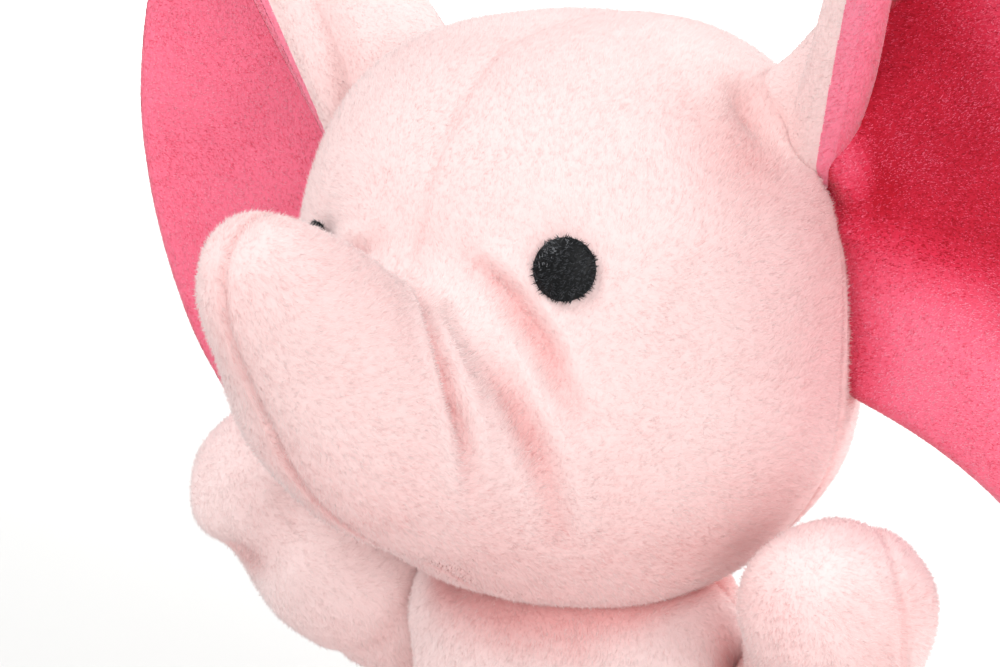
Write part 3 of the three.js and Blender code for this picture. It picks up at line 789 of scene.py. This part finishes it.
def ear(side, sign):
    rows, columns = ((190, 100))
    sheet = ear_sheet(*ear_curves(side), rows, columns)
    quads = sheet_quads(rows, columns)
    flat = sheet.reshape(-1, 3)
    forward = vertex_normals(flat, quads)
    flap_edge = np.vstack([sheet[-1, ::4], sheet[-1, -1:], sheet[int(rows * 0.86):-1, -1][::-1]])
    lower_edge = np.vstack([sheet[0, ::4], sheet[0, -1:], sheet[1:, -1]])
    from_flap, from_root = away(flat, flap_edge), away(flat, sheet[:, 0])
    gap = np.minimum(from_flap, away(flat, lower_edge))

    wave = 0.9 * ripple(flat, 24, 21 + sign) + 0.3 * ripple(flat, 10, 22)
    if side == "right":
        wave += 2.4 * bell(from_flap - 10, 3.4) * step_up(from_root, 4, 16)
    bent = raised(flat, forward, wave * step_up(gap, 0, 10) * step_up(from_root, 6, 16))
    half = ear_thickness(gap, from_flap, from_root)
    thick_top = 1 + 0.7 * bell(from_flap, 7) * (1 - step_up(from_root, 12, 48))
    hem = np.where(from_flap <= gap + 0.01, TOP_HEM[side], HEM)
    sewn = 0.7 * bell(gap - hem, 0.8)
    front = mirror(raised(bent, forward, half * thick_top), sign)
    rear = mirror(raised(bent, -forward, np.maximum(half - sewn, 0)), sign)

    # Both skins' quads face into the ear, on the mirrored side too.
    into = quads[:, ::-sign]
    on_hem = (gap - hem)[quads].mean(1) < 0
    lining = np.vstack([into, into[on_hem][:, ::-1] + len(front)])
    tone = lining_light_and_shade(side, bent, flat, from_flap, from_root)
    tones = np.concatenate([tone, np.full(len(tone), 4.8)])
    join = bending()
    v, f, t = kept(np.vstack([front, rear]), lining, slice(None), tones)
    skinned(f"ear_{side}_lining_skin", v, f, hot_velour, t, combed([sign, 0, 0.4]), join, HOT_SLOT,
            [f"ear_{side}_lining", f"ear_{side}_wadding"], density=1.4 * FUR, seed=18, length=1.6, grain=1.5)
    v, f = kept(rear, into[:, ::-1], ~on_hem)
    skinned(f"ear_{side}_back_skin", v, f, pale_velour, PALE_TONE, combed([sign, 0, 0.3]), join, PALE_SLOT,
            [f"ear_{side}_back"], density=FUR, seed=19)


# ---- Stage, light and camera, in metres ---------------------------------------------------------
def backdrop():
    """A floor, and a wall far behind the toy."""
    near_y, wall_y, half, rise = -3, 6, 6, 6
    mesh = bpy.data.meshes.new("floor")
    corners = [(-half, near_y, 0), (half, near_y, 0), (half, wall_y, 0), (-half, wall_y, 0),
               (half, wall_y, rise), (-half, wall_y, rise)]
    mesh.from_pydata(corners, [], [(0, 1, 2, 3), (3, 2, 4, 5)])
    mesh.materials.append(plain("paper", srgb(228, 228, 227), 0.9))
    floor = bpy.data.objects.new("floor", mesh)
    bpy.context.scene.collection.objects.link(floor)


def studio_world():
    world = bpy.data.worlds.new("studio")
    world.use_nodes = True
    background = world.node_tree.nodes["Background"]
    background.inputs["Color"].default_value = (1, 1, 1, 1)
    background.inputs["Strength"].default_value = 0.55
    bpy.context.scene.world = world


def area_light(name, place, aim, size, power):
    light = bpy.data.lights.new(name, "AREA")
    light.size, light.energy = size, power
    obj = bpy.data.objects.new(name, light)
    obj.location = place
    obj.rotation_euler = (Vector(aim) - Vector(place)).to_track_quat("-Z", "Y").to_euler()
    bpy.context.scene.collection.objects.link(obj)


def lights():
    area_light("key", (-0.4, -0.8, 1.25), (0, 0, 0.15), 0.8, 10)
    area_light("fill", (1.2, -0.85, 0.65), (0, 0, 0.14), 0.9, 9)
    area_light("rim", (0.8, 0.9, 0.7), (0, 0, 0.15), 0.6, 7)
    area_light("backdrop_light", (0, 1.6, 2.2), (0, 4.5, 0), 2.5, 230)


# The camera looks at the head from its left. The aim is from the head's middle, in millimetres.
AZIMUTH, ELEVATION, DISTANCE = math.radians(35), math.radians(13), 500
AIM_RIGHT, AIM_UP = -14.5, -5.1
FOCAL_LENGTH = 95.4


def photo_camera():
    back = np.array([math.sin(AZIMUTH) * math.cos(ELEVATION), -math.cos(AZIMUTH) * math.cos(ELEVATION),
                     math.sin(ELEVATION)])
    right = np.array([math.cos(AZIMUTH), math.sin(AZIMUTH), 0])
    above = np.cross(back, right)
    eye_point = Vector((HEAD + DISTANCE * back) * MM)
    aim_point = Vector((HEAD + AIM_RIGHT * right + AIM_UP * above) * MM)
    camera = bpy.data.objects.new("camera", bpy.data.cameras.new("camera"))
    camera.data.lens = FOCAL_LENGTH
    camera.data.clip_start = 0.01
    camera.location = eye_point
    camera.rotation_euler = (aim_point - eye_point).to_track_quat("-Z", "Y").to_euler()
    bpy.context.scene.collection.objects.link(camera)
    bpy.context.scene.camera = camera


# ---- Everything ---------------------------------------------------------------------------------
head_and_trunk()
for side, (spot, out) in EYES.items():
    eye(side, spot, out)
torso()
neck()
closing_stitches()
blank_label()
for side, sign in SIDES.items():
    arm(side, sign)
    leg(side, sign)
tail()
for side, sign in SIDES.items():
    ear(side, sign)
backdrop()
studio_world()
lights()
photo_camera()
bpy.context.scene.view_settings.view_transform = "Standard"
